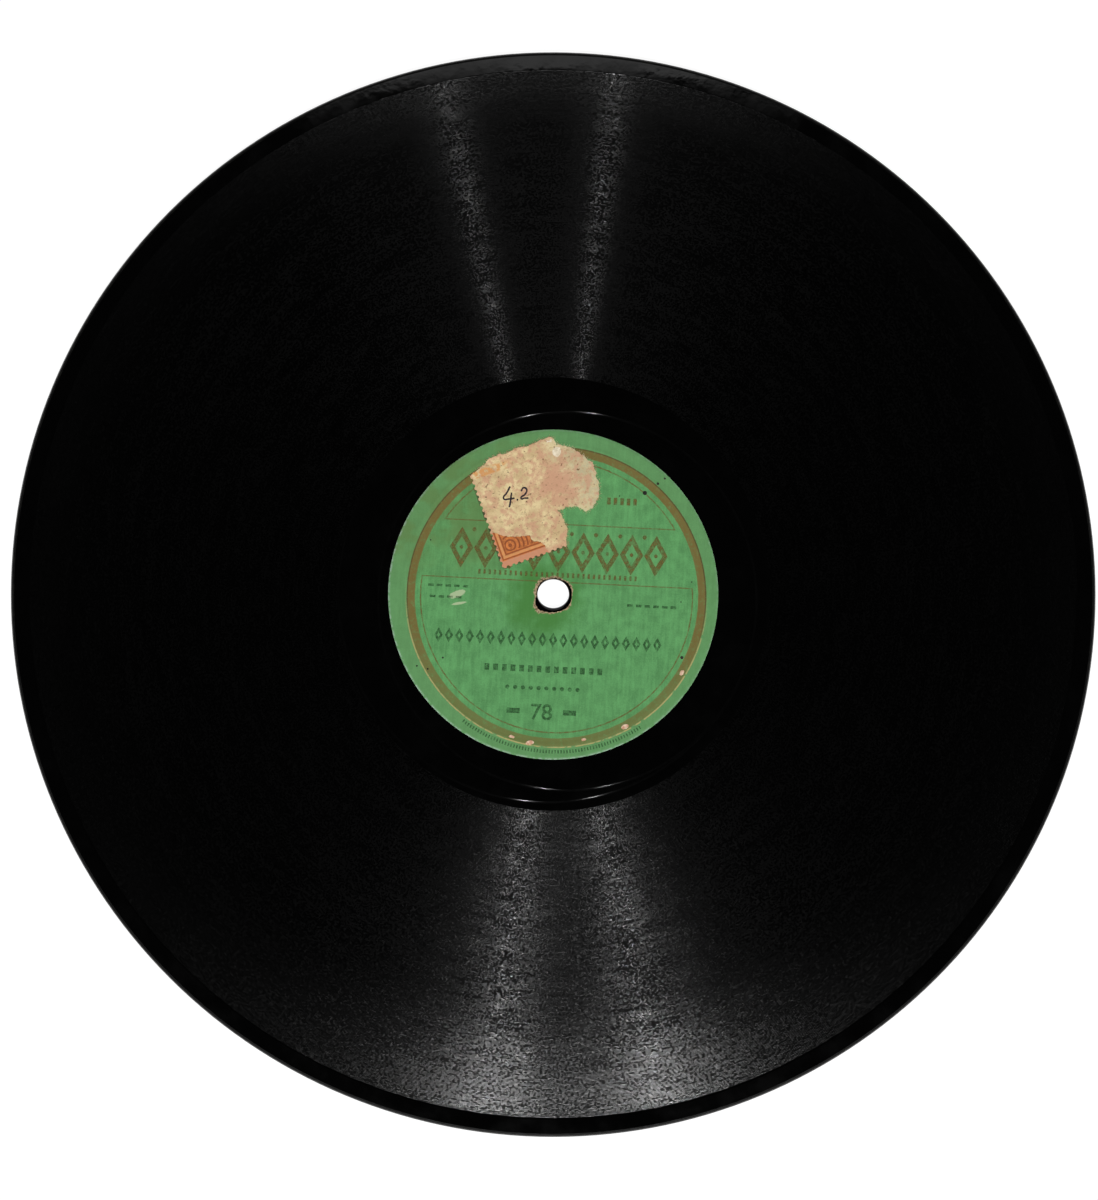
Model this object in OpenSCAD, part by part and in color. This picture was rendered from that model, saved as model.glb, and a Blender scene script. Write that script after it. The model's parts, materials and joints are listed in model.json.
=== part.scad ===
// A ten-inch laminated shellac record, lying with its front up on the plane z = 0.
// A coarse core lies between two paper plies, and a fine grooved face covers each ply.
// A paper label is pressed into each face, and the front label carries the rest of a torn gummed stamp.
// The spindle axis is Z, and the front label's print reads upright towards +Y.

/* [Disc] */
// Diameter of the disc
disc_d = 250; // [200:1:305]
// Thickness of the disc across the grooves
disc_t = 2.2; // [1.9:0.05:3]
// Diameter of the spindle hole
spindle_d = 7.3; // [7.1:0.05:8]
// Width of the smooth rim outside the first groove
rim_w = 4.2; // [3:0.1:8]
// How far each side of the rim slopes down towards the edge
rim_drop = 0.2; // [0.05:0.05:0.3]

/* [Plies] */
// Thickness of each grooved face under its label
face_floor = 0.15; // [0.1:0.01:0.3]
// Thickness of each paper ply
ply_t = 0.1; // [0.05:0.01:0.2]
// Distance from the disc's edge in to the paper ply
ply_inset = 3; // [2:0.1:10]

/* [Grooves] */
// Distance from one turn of the groove to the next
groove_pitch = 0.29; // [0.24:0.01:0.5]
// Width of the groove at the surface
groove_w = 0.16; // [0.1:0.01:0.18]
// Depth of the groove
groove_depth = 0.06; // [0.04:0.005:0.1]
// Least distance from the label to the stop groove
stop_gap = 1.9; // [1:0.1:4]
// Distance of the stop groove's centre from the spindle axis
stop_offset = 3.6; // [2:0.1:5]
// Direction of the stop groove's centre, anticlockwise from the X axis
stop_angle = -25; // [-180:1:180]
// Width of the band that the lead-out groove crosses
lead_out_w = 2.6; // [1:0.1:6]

/* [Labels] */
// Diameter of each label
label_d = 76; // [60:0.5:90]
// Thickness of the label's paper
label_t = 0.12; // [0.08:0.01:0.2]
// Depth of the label's surface below the grooved surface
label_sink = 0.08; // [0.06:0.01:0.15]
// Clearance round the label in its seat
label_gap = 0.05; // [0.02:0.01:0.2]
// Diameter of the worn hole in each label
label_hole_d = 8.6; // [8:0.1:14]
// Distance from the label's edge in to the middle of its pressed ring
ring_inset = 3.4; // [2:0.1:6]
// Width of the pressed ring at its foot
ring_w = 1.6; // [0.8:0.1:2.5]
// Height of the pressed ring
ring_h = 0.06; // [0.02:0.01:0.06]

/* [Stamp] */
// Width of the whole stamp
stamp_w = 28; // [20:0.5:32]
// Height of the whole stamp
stamp_h = 25; // [20:0.5:28]
// Thickness of the stamp's backing paper
stamp_t = 0.08; // [0.05:0.01:0.15]
// Thickness of the printed layer that is left on the backing
print_t = 0.05; // [0.03:0.01:0.1]
// Turn of the stamp on the label, anticlockwise
stamp_turn = 19.5; // [-45:0.5:45]
// Direction of the stamp's middle, anticlockwise from the X axis
stamp_angle = 96.5; // [60:0.5:120]
// Distance from the label's edge in to the stamp's middle
stamp_inset = 15.5; // [15:0.5:20]
// Distance from one perforation to the next
perf_pitch = 1.35; // [1.2:0.05:1.6]
// Diameter of a perforation
perf_d = 0.8; // [0.6:0.05:1]

/* [Hidden] */
$fn = 180;
// Steps along a quarter of the rounded edge
edge_steps = 6;

disc_r = disc_d / 2;
half_t = disc_t / 2;
bore_r = spindle_d / 2;

// Heights are measured up from the disc's middle plane, for one side
label_r = label_d / 2;
seat_z = half_t - label_sink - label_t;
face_under = seat_z - face_floor;
ply_under = face_under - ply_t;
label_top = half_t - label_sink;

// The edge is a half round that the two sloping rims run into
edge_r = half_t - rim_drop;
edge_x = disc_r - edge_r;
edge_split = asin(face_under / edge_r);

// The stop groove clears the label, and the recording ends outside the lead-out
first_r = disc_r - rim_w;
stop_r = label_r + label_gap + stop_gap + stop_offset;
stop_far = stop_r + stop_offset;
turns = floor((first_r - stop_far - lead_out_w) / groove_pitch);
last_r = first_r - turns * groove_pitch;
lead_out_x = (stop_far - last_r) / 2;
lead_out_r = (stop_far + last_r - groove_w) / 2;

// A cutter for a groove stands out of the surface by half the groove's depth
cutter_over = groove_depth / 2;
cutter_half_w = groove_w / 2 * (1 + cutter_over / groove_depth);

ring_r = label_r - ring_inset;
stamp_r = label_r - stamp_inset;

// Torn outline of the stamp and of its printed rest, as shares of its width and height
stamp_outline = [
  [0, 0], [0.55, 0], [0.59, 0.09], [0.61, 0.17], [0.6, 0.26], [0.58, 0.35], [0.66, 0.35], [0.74, 0.32],
  [0.8, 0.24], [0.86, 0.25], [0.94, 0.33], [0.97, 0.44], [0.99, 0.55], [0.99, 0.65], [0.92, 0.75], [0.88, 0.82],
  [0.82, 0.88], [0.75, 0.91], [0.74, 0.99], [0.68, 1], [0.4, 1], [0.24, 1], [0.12, 0.96], [0, 0.91]
];
print_outline = [
  [0, 0], [0.4, 0], [0.38, 0.09], [0.31, 0.15], [0.3, 0.21], [0.18, 0.24], [0.11, 0.28], [0, 0.35]
];
flake_outlines = [
  [[0.705, 0.83], [0.76, 0.82], [0.775, 0.875], [0.72, 0.89]],
  [[0.685, 0.96], [0.728, 0.95], [0.735, 0.98], [0.685, 0.985]]
];

// Rounded edge from one angle above the middle plane to another
function edge_arc(from, to) = [
  for (i = [0 : edge_steps])
    let (a = from + (to - from) * i / edge_steps)
    [edge_x + edge_r * cos(a), edge_r * sin(a)]
];

// Pressed ring of the label's seat, from its outer foot to its inner foot, with its foot at height z
function pressed_ring(z) = [
  [ring_r + ring_w / 2, z], [ring_r + ring_w / 4, z + ring_h],
  [ring_r - ring_w / 4, z + ring_h], [ring_r - ring_w / 2, z]
];

// A layer of even thickness that lies on the label's seat or on what covers it
module pressed_layer(inner_r, outer_r, z, thickness) {
  top = z + thickness;
  lower = concat([[outer_r, z]], pressed_ring(z), [[inner_r, z]]);
  upper = concat([[outer_r, top]], pressed_ring(top), [[inner_r, top]]);
  rotate_extrude()
    polygon(concat(lower, [for (i = [len(upper) - 1 : -1 : 0]) upper[i]]));
}

module front_side() {
  translate([0, 0, half_t]) children();
}

// The back is the front turned over about the X axis
module back_side() {
  translate([0, 0, half_t]) rotate([180, 0, 0]) children();
}

module groove_cutter(r) {
  polygon([
    [r - cutter_half_w, half_t + cutter_over], [r, half_t - groove_depth],
    [r + cutter_half_w, half_t + cutter_over]
  ]);
}

// One grooved face: rim, recorded band, run-out and the label's seat
module grooved_face() {
  rim = edge_arc(edge_split, 90);
  recorded = [
    for (i = [0 : turns])
      let (r = first_r - i * groove_pitch)
      each [[r + groove_w / 2, half_t], [r, half_t - groove_depth], [r - groove_w / 2, half_t]]
  ];
  seat_r = label_r + label_gap;
  seat = concat([[seat_r, half_t], [seat_r, seat_z]], pressed_ring(seat_z), [[bore_r, seat_z]]);
  difference() {
    rotate_extrude()
      polygon(concat([[bore_r, face_under]], rim, [[first_r + groove_w, half_t]], recorded, seat));
    rotate([0, 0, stop_angle]) {
      translate([stop_offset, 0, 0]) rotate_extrude() groove_cutter(stop_r);
      translate([lead_out_x, 0, 0]) rotate([0, 0, 180])
        rotate_extrude(angle = 180) groove_cutter(lead_out_r);
    }
  }
}

module paper_ply() {
  rotate_extrude()
    translate([bore_r, ply_under]) square([disc_r - ply_inset - bore_r, ply_t]);
}

module paper_label() {
  pressed_layer(label_hole_d / 2, label_r, seat_z, label_t);
}

// Places a drawing of the stamp, whose lower left corner is its origin, on the front label
module on_stamp() {
  rotate([0, 0, stamp_angle]) translate([stamp_r, 0]) rotate([0, 0, stamp_turn - stamp_angle])
    translate([-stamp_w / 2, -stamp_h / 2]) children();
}

function on_sheet(outline) = [for (p = outline) [p[0] * stamp_w, p[1] * stamp_h]];

// A row of perforations, the first at the start of the row
module perforations(length) {
  for (x = [0 : perf_pitch : length]) translate([x, 0]) circle(d = perf_d, $fn = 24);
}

// An outline of the stamp with the perforations of its left and lower edges
module perforated(outline) {
  difference() {
    polygon(on_sheet(outline));
    perforations(stamp_w);
    rotate([0, 0, 90]) perforations(stamp_h);
  }
}

// A layer of the stamp that follows the pressed ring under it
module stamp_layer(z, thickness) {
  intersection() {
    translate([0, 0, z - ring_h]) linear_extrude(thickness + 3 * ring_h) on_stamp() children();
    pressed_layer(label_hole_d / 2, label_r, z, thickness);
  }
}

module core() {
  ply_r = disc_r - ply_inset;
  color("#2c2826") front_side() rotate_extrude()
    polygon(concat(
      [[bore_r, -ply_under], [ply_r, -ply_under], [ply_r, -face_under]],
      edge_arc(-edge_split, edge_split),
      [[ply_r, face_under], [ply_r, ply_under], [bore_r, ply_under]]
    ));
}

module front_paper() {
  color("#b7a684") front_side() paper_ply();
}

module back_paper() {
  color("#b7a684") back_side() paper_ply();
}

module front_face() {
  color("#121212") front_side() grooved_face();
}

module back_face() {
  color("#121212") back_side() grooved_face();
}

module front_label() {
  color("#5f9f6e") front_side() paper_label();
}

module back_label() {
  color("#5f9f6e") back_side() paper_label();
}

module stamp_backing() {
  color("#ece2cf") front_side() stamp_layer(label_top, stamp_t) perforated(stamp_outline);
}

module stamp_print() {
  color("#e2915c") front_side() stamp_layer(label_top + stamp_t, print_t) perforated(print_outline);
}

module stamp_flakes() {
  color("#f3ead6") front_side() stamp_layer(label_top + stamp_t, print_t)
    for (outline = flake_outlines) polygon(on_sheet(outline));
}

core();
front_paper();
back_paper();
front_face();
back_face();
front_label();
back_label();
stamp_backing();
stamp_print();
stamp_flakes();
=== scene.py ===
"""Looks of a laminated shellac record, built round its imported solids."""

import json
import math
from functools import partial, reduce
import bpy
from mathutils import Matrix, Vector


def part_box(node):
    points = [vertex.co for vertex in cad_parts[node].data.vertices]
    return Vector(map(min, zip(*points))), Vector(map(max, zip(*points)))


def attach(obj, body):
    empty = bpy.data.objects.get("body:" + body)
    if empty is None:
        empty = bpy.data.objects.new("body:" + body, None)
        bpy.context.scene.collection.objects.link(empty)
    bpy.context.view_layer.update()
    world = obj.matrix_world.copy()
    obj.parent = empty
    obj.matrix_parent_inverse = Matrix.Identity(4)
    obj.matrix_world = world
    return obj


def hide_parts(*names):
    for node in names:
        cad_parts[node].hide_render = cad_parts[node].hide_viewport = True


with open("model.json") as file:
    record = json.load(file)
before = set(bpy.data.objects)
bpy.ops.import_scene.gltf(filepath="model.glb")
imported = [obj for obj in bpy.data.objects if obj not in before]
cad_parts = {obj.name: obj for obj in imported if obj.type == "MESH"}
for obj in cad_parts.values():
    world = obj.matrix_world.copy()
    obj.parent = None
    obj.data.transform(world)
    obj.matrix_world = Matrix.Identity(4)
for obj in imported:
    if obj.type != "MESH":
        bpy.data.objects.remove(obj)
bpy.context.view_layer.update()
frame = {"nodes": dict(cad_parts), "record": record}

from types import SimpleNamespace

import bmesh
import bpy
from bpy.props import FloatProperty, FloatVectorProperty, IntProperty, PointerProperty
from mathutils import Matrix, Vector, geometry, noise

bl_info = {
    "name": "Shellac record",
    "version": (1, 0, 0),
    "blender": (4, 5, 0),
    "location": "3D View > Sidebar > Record",
    "description": "Builds the looks of a laminated shellac record round its packed solids",
    "category": "Add Mesh",
}

MM = 0.001
TAU = 2 * math.pi
SIDES = (("front", True), ("back", False))
# Points of a groove that are closer than this are one, and half of it elsewhere
WELD = 0.002 * MM
# Straight steps round the axis
CORE_STEPS = 240
FACE_STEPS = 288
LABEL_STEPS = 240
# Height of a printed mark, which is sunk into the paper a little
MARK_HEIGHT = 0.03 * MM
MARK_SINK = 0.012 * MM
# Height of a plain figure as a share of its font's size
FIGURE_SHARE = 0.7

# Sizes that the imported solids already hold, in metres
CORE_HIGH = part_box("core")[1]
FACE_LOW, FACE_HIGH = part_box("front_face")
LABEL_LOW, LABEL_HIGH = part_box("front_label")
PLY_LOW, PLY_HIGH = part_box("front_paper")
SPINDLE = next(mount for mount in frame["record"]["mounts"] if mount["name"] == "spindle_hole")
BORE = SPINDLE["dims"]["r_mm"] * MM
MID = FACE_HIGH.z / 2

# Heights are measured up from the disc's middle plane, for one side
HALF = FACE_HIGH.z - MID
SEAT = LABEL_LOW.z - MID
FACE_UNDER = FACE_LOW.z - MID
PLY_UNDER = PLY_LOW.z - MID

# Torn outline of the stamp and of its printed rest, as shares of its width and height.
# Each starts at the lower left corner and runs along the lower edge first.
STAMP_OUTLINE = [
    (0, 0), (0.55, 0), (0.59, 0.09), (0.61, 0.17), (0.6, 0.26), (0.58, 0.35), (0.66, 0.35), (0.74, 0.32),
    (0.8, 0.24), (0.86, 0.25), (0.94, 0.33), (0.97, 0.44), (0.99, 0.55), (0.99, 0.65), (0.92, 0.75),
    (0.88, 0.82), (0.82, 0.88), (0.75, 0.91), (0.74, 0.99), (0.68, 1), (0.4, 1), (0.24, 1), (0.12, 0.96),
    (0, 0.91),
]
PRINT_OUTLINE = [
    (0, 0), (0.4, 0), (0.38, 0.09), (0.31, 0.15), (0.3, 0.21), (0.18, 0.24), (0.11, 0.28), (0, 0.35),
]
FLAKE_OUTLINES = [
    [(0.705, 0.83), (0.76, 0.82), (0.775, 0.875), (0.72, 0.89)],
    [(0.685, 0.96), (0.728, 0.95), (0.735, 0.98), (0.685, 0.985)],
]
# Radius of the label's worn hole in mm, every 15 degrees from the X axis
HOLE_RADII = [
    4.25, 4.3, 4.3, 4.2, 4.0, 3.85, 3.8, 3.8, 3.85, 3.95, 4.0, 3.9,
    3.9, 4.2, 4.6, 4.8, 4.5, 4.2, 4.0, 4.0, 4.15, 4.35, 4.3, 4.25,
]
# Strokes of the handwritten number, in mm from its lower left corner, and that corner's place on the disc
FIGURE_STROKES = [
    [(1.7, 4.9), (0.9, 3.4), (0.2, 2.1), (1.4, 2.0), (2.7, 2.2)],
    [(2.0, 3.5), (1.8, 1.8), (1.5, 0.1)],
    [(3.2, 1.9), (3.5, 1.8)],
    [(4.2, 3.8), (4.8, 4.6), (5.5, 4.2), (5.2, 3.2), (4.2, 2.1), (5.0, 2.2), (5.9, 2.2)],
]
FIGURE_CORNER = (-11.6, 20.0)
# Dark specks on the front label: place in mm and radius in mm
SPECKS = [
    (21.1, 23.4, 0.5), (24.1, 25.5, 0.3), (25.7, 26.7, 0.22), (15.3, 22.7, 0.16), (29.6, -14.5, 0.36),
    (-25.4, -14.5, 0.22), (-31.4, -16.4, 0.2), (-28.9, -17.1, 0.22), (-28.2, 12.6, 0.16), (31.9, 2.9, 0.16),
    (29.4, -1.7, 0.16),
]
# Chips and scuffs of the front label's printed face: place, half length and half width in mm, turn
CHIPS = [
    (-5.4, -34.1, 1.0, 0.5, 8), (16.5, -30.4, 0.9, 0.55, 20), (29.6, -18.0, 0.7, 0.45, 60),
    (-9.6, -32.7, 0.6, 0.4, -10), (7.0, -33.4, 0.55, 0.35, 15),
]


def length_prop(name, description, default, **limits):
    """A length that a user may change"""
    return FloatProperty(name=name, description=description, default=default, unit="LENGTH", **limits)


def angle_prop(name, description, degrees):
    """An angle that a user may change"""
    return FloatProperty(name=name, description=description, default=math.radians(degrees), subtype="ANGLE")


def colour_prop(name, description, default):
    """A colour that a user may change"""
    return FloatVectorProperty(name=name, description=description, default=default, size=3, subtype="COLOR")


class DiscSettings(bpy.types.PropertyGroup):
    """Sizes of the disc and its groove"""

    radius: length_prop("Radius", "Radius of the disc", CORE_HIGH.x, min=50 * MM)
    bore: length_prop("Spindle hole", "Radius of the spindle hole", BORE, min=MM)
    rim_width: length_prop("Rim", "Width of the smooth rim", 4.2 * MM, min=MM)
    rim_drop: length_prop("Rim slope", "Drop of the rim towards the edge", 0.2 * MM)
    pitch: length_prop("Groove pitch", "Distance between turns", 0.29 * MM, min=0.1 * MM)
    depth: length_prop("Groove depth", "Depth of the groove", 0.06 * MM)
    steps: IntProperty(
        name="Steps", description="Straight steps in one turn of the groove", default=96, min=24, max=100
    )
    stop_gap: length_prop("Stop gap", "Least distance of the stop groove from the label", 1.95 * MM)
    stop_offset: length_prop("Stop offset", "Distance of the stop groove's centre from the axis", 3.6 * MM)
    stop_angle: angle_prop("Stop direction", "Direction of the stop groove's centre", -25)
    lead_out: length_prop("Lead-out", "Width of the band that the lead-out groove crosses", 2.6 * MM)
    run_out_width: length_prop("Run-out groove", "Width of the stop and lead-out grooves", 0.3 * MM)
    colour: colour_prop("Shellac", "Colour of the grooved faces", (0.0005, 0.0005, 0.0005))


class LabelSettings(bpy.types.PropertyGroup):
    """Sizes and colours of the labels"""

    radius: length_prop("Radius", "Radius of a label", LABEL_HIGH.x)
    ring_inset: length_prop("Ring inset", "Distance of the pressed ring from the edge", 3.4 * MM)
    ring_width: length_prop("Ring width", "Width of the pressed ring", 1.6 * MM)
    ring_height: length_prop("Ring height", "Height of the pressed ring", 0.06 * MM)
    print_turn: angle_prop("Print turn", "Turn of the print on the paper", -2.8)
    print_shift: FloatVectorProperty(
        name="Print shift", description="Place of the print's centre", default=(0.75 * MM, -0.5 * MM), size=2,
        subtype="TRANSLATION", unit="LENGTH",
    )
    paper: colour_prop("Paper", "Colour of the paper", (0.093, 0.283, 0.095))
    brown: colour_prop("Brown ink", "Colour of the brown print", (0.15, 0.105, 0.026))
    green: colour_prop("Green ink", "Colour of the dark green print", (0.028, 0.1, 0.03))


class StampSettings(bpy.types.PropertyGroup):
    """Sizes and colours of the torn stamp"""

    width: length_prop("Width", "Width of the whole stamp", 28 * MM)
    height: length_prop("Height", "Height of the whole stamp", 25 * MM)
    thickness: length_prop("Paper", "Thickness of the backing", 0.08 * MM)
    layer: length_prop("Printed layer", "Thickness of the printed layer", 0.05 * MM)
    turn: angle_prop("Turn", "Turn of the stamp on the label", 19.5)
    direction: angle_prop("Direction", "Direction of the stamp's middle", 96.5)
    distance: length_prop("Distance", "Distance of the stamp's middle from the axis", 22.5 * MM)
    perf_pitch: length_prop("Perforation pitch", "Distance between perforations", 1.35 * MM, min=0.5 * MM)
    perf_radius: length_prop("Perforation", "Radius of a perforation", 0.4 * MM)
    tear: length_prop("Tear", "Roughness of the torn edges", 0.5 * MM)
    paper: colour_prop("Paper", "Colour of the backing", (0.638, 0.468, 0.25))
    orange: colour_prop("Print", "Colour of the printed layer", (0.5, 0.155, 0.037))


class StageSettings(bpy.types.PropertyGroup):
    """Camera, light and floor"""

    lens: FloatProperty(name="Lens", description="Focal length in millimetres", default=100.0, min=20.0)
    view_height: length_prop("View height", "Height of the picture at the disc's surface", 276.2 * MM)
    sun_height: angle_prop("Sun height", "Height of both lamps above the floor", 55)
    floor: colour_prop("Floor", "Colour of the floor", (0.97, 0.97, 0.97))


class RecordSettings(bpy.types.PropertyGroup):
    """Everything that a user of the record may change"""

    disc: PointerProperty(type=DiscSettings, name="Disc", description="Disc and groove")
    label: PointerProperty(type=LabelSettings, name="Labels", description="Paper labels")
    stamp: PointerProperty(type=StampSettings, name="Stamp", description="Torn stamp")
    stage: PointerProperty(type=StageSettings, name="Stage", description="Camera, light and floor")


def side_place(front):
    """Matrix that takes a side, drawn upwards from the middle plane, to its place"""
    lift = Matrix.Translation((0, 0, MID))
    return lift if front else lift @ Matrix.Rotation(math.pi, 4, "X")


def stamp_place(stamp):
    """Matrix from the stamp's lower left corner to its place on the disc, in the plane"""
    centre = Vector((math.cos(stamp.direction), math.sin(stamp.direction), 0)) * stamp.distance
    corner = Matrix.Translation((-stamp.width / 2, -stamp.height / 2, 0))
    return Matrix.Translation(centre) @ Matrix.Rotation(stamp.turn, 4, "Z") @ corner


def finish_piece(name, mesh, place, materials=(), nodes=()):
    """Takes a mesh to its place and makes it a finished piece of the record"""
    old = bpy.data.objects.get(name)
    if old:
        bpy.data.objects.remove(old)
    if materials:
        mesh.materials.clear()
    for material in materials:
        mesh.materials.append(material)
    mesh.transform(place)
    piece = bpy.data.objects.new(name, mesh)
    bpy.context.scene.collection.objects.link(piece)
    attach(piece, "root")
    if nodes:
        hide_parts(*nodes)


def soften(bm, sharp):
    """Turns all faces outwards and smooths the edges that are less sharp than an angle"""
    bmesh.ops.recalc_face_normals(bm, faces=bm.faces)
    for edge in bm.edges:
        edge.smooth = len(edge.link_faces) == 2 and edge.calc_face_angle() < sharp


def mesh_from(name, bm, sharp=math.radians(50)):
    """Makes a mesh of a bmesh, smooth except at edges sharper than an angle"""
    soften(bm, sharp)
    for face in bm.faces:
        face.smooth = True
    mesh = bpy.data.meshes.new(name)
    bm.to_mesh(mesh)
    bm.free()
    return mesh


def skin(bm, first, second):
    """Joins two closed loops of as many points with faces"""
    for i in range(len(first)):
        j = (i + 1) % len(first)
        bm.faces.new((first[i], first[j], second[j], second[i]))


def loft_rings(name, rings, steps):
    """A closed skin over rings round the axis, whose radius and height may depend on the angle"""
    bm = bmesh.new()
    loops = []
    for radius, height in rings:
        loop = []
        for i in range(steps):
            angle = TAU * i / steps
            r = radius(angle) if callable(radius) else radius
            z = height(angle) if callable(height) else height
            loop.append(bm.verts.new((r * math.cos(angle), r * math.sin(angle), z)))
        loops.append(loop)
    for lower, upper in zip(loops, loops[1:] + loops[:1]):
        skin(bm, lower, upper)
    return mesh_from(name, bm)


def joined_mesh(name, meshes):
    """One mesh of several"""
    bm = bmesh.new()
    for mesh in meshes:
        bm.from_mesh(mesh)
    whole = bpy.data.meshes.new(name)
    bm.to_mesh(whole)
    bm.free()
    return whole


def evaluated_mesh(holder):
    """Plain mesh of an object that is made only for it"""
    bpy.context.scene.collection.objects.link(holder)
    bpy.context.view_layer.update()
    depsgraph = bpy.context.evaluated_depsgraph_get()
    mesh = bpy.data.meshes.new_from_object(holder.evaluated_get(depsgraph), depsgraph=depsgraph)
    bpy.data.objects.remove(holder)
    return mesh


def curve_mesh(curve):
    """Closed mesh of a curve or a text"""
    mesh = evaluated_mesh(bpy.data.objects.new(curve.name, curve))
    bm = bmesh.new()
    bm.from_mesh(mesh)
    bmesh.ops.remove_doubles(bm, verts=bm.verts, dist=WELD / 2)
    bmesh.ops.recalc_face_normals(bm, faces=bm.faces)
    bm.to_mesh(mesh)
    bm.free()
    return mesh


class Wire:
    """A node's output in its tree, which takes part in sums like a number"""

    def __init__(self, tree, socket):
        self.tree = tree
        self.socket = socket

    def calc(self, operation, *others):
        """Result of a Math node"""
        return wired(self.tree, "ShaderNodeMath", dict(enumerate((self, *others))), operation=operation)

    def __add__(self, other):
        return self.calc("ADD", other)

    def __sub__(self, other):
        return self.calc("SUBTRACT", other)

    def __mul__(self, other):
        return self.calc("MULTIPLY", other)


def fill(tree, socket, value):
    """Links a wire to an input, or sets the input to a plain value"""
    if isinstance(value, Wire):
        tree.links.new(value.socket, socket)
    else:
        socket.default_value = value


def add_node(tree, kind, inputs=None, **settings):
    """Adds a node, sets it up and fills its inputs"""
    node = tree.nodes.new(kind)
    for name, value in settings.items():
        setattr(node, name, value)
    for name, value in (inputs or {}).items():
        fill(tree, node.inputs[name], value)
    return node


def wired(tree, kind, inputs=None, keys=0, **settings):
    """Output of a new node, or a list of outputs if several keys are given"""
    outputs = add_node(tree, kind, inputs, **settings).outputs
    if isinstance(keys, tuple):
        return [Wire(tree, outputs[key]) for key in keys]
    return Wire(tree, outputs[keys])


def most(*values):
    """The largest of several values"""
    return reduce(lambda first, second: first.calc("MAXIMUM", second), values)


def least(*values):
    """The smallest of several values"""
    return reduce(lambda first, second: first.calc("MINIMUM", second), values)


def ramp(value, start, end, low=0.0, high=1.0):
    """Smooth step from one value to another"""
    inputs = {"Value": value, "From Min": start, "From Max": end, "To Min": low, "To Max": high}
    return wired(value.tree, "ShaderNodeMapRange", inputs, interpolation_type="SMOOTHSTEP")


def band(value, low, high, soft):
    """Mask that is 1 between two values"""
    return ramp(value, low - soft, low + soft) * ramp(value, high - soft, high + soft, 1.0, 0.0)


def blend(share, first, second):
    """Mix of two colours"""
    inputs = {0: share}
    for key, colour in ((6, first), (7, second)):
        inputs[key] = colour if isinstance(colour, Wire) else (*colour[:3], 1.0)
    return wired(share.tree, "ShaderNodeMix", inputs, 2, data_type="RGBA")


def layered(colour, *layers):
    """Colour under layers that each cover a share of what lies below them"""
    for share, cover in layers:
        colour = blend(share, colour, cover)
    return colour


def grain(place, scale, detail=2.0, roughness=0.5):
    """Noise at a number of cycles per millimetre"""
    inputs = {"Vector": place, "Scale": scale, "Detail": detail, "Roughness": roughness}
    return wired(place.tree, "ShaderNodeTexNoise", inputs)


def vector(operation, place, *others, key=0):
    """Result of a Vector Math node"""
    inputs = dict(enumerate((place, *others)))
    return wired(place.tree, "ShaderNodeVectorMath", inputs, key, operation=operation)


def stretch(place, x, y, z=1.0):
    """Place stretched along its axes"""
    return vector("MULTIPLY", place, (x, y, z))


def seen_from(place, x, y):
    """Place measured from a spot"""
    return vector("SUBTRACT", place, (x, y, 0.0))


def flat_radius(place):
    """Distance from the local Z axis"""
    return vector("LENGTH", stretch(place, 1.0, 1.0, 0.0), key="Value")


def xyz(*parts):
    """A place of three coordinates, the last of which is a wire"""
    return wired(parts[-1].tree, "ShaderNodeCombineXYZ", dict(enumerate(parts)))


def parts_of(place):
    """The three coordinates of a place"""
    return wired(place.tree, "ShaderNodeSeparateXYZ", {0: place}, (0, 1, 2))


def on_circle(radius, angle, height):
    """A place on a circle round the local Z axis"""
    return xyz(radius * angle.calc("COSINE"), radius * angle.calc("SINE"), height)


def groove_place(place, along, across):
    """Place that turns with the groove, in cells per radian along it and per millimetre across it"""
    around = vector("NORMALIZE", stretch(place, 1.0, 1.0, 0.0))
    rise = xyz(0.0, 0.0, flat_radius(place) * across)
    return vector("MULTIPLY_ADD", around, (along, along, along), rise)


def framed(place, centre, turn, scale):
    """Place in a frame with a centre, a turn and a scale of its own"""
    inputs = {"Vector": place, "Location": centre, "Rotation": turn, "Scale": scale}
    return wired(place.tree, "ShaderNodeMapping", inputs, vector_type="TEXTURE")


def object_place(tree, shift=(0, 0, 0), turn=(0, 0, 0)):
    """Object coordinates in millimetres, in a frame that is shifted, in metres, and turned"""
    return framed(wired(tree, "ShaderNodeTexCoord", keys="Object"), shift, turn, (MM, MM, MM))


def on_stamp(tree, stamp):
    """Object coordinates in millimetres from the stamp's lower left corner"""
    return object_place(tree, stamp_place(stamp).to_translation(), (0, 0, stamp.turn))


def stain(place, centre, halves, turn):
    """Mask of a ragged oval spot"""
    ragged = 0.8
    spot = framed(place, (*centre, 0), (0, 0, turn), (*halves, 1))
    reach = grain(place, 1.6, 4.0, 0.7) * ragged + flat_radius(spot)
    return ramp(reach, 1.15 + ragged / 2, 0.85 + ragged / 2)


def bump(height, distance):
    """Normal of a relief of some millimetres"""
    inputs = {"Strength": 1.0, "Distance": distance * MM, "Height": height}
    return wired(height.tree, "ShaderNodeBump", inputs)


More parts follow.
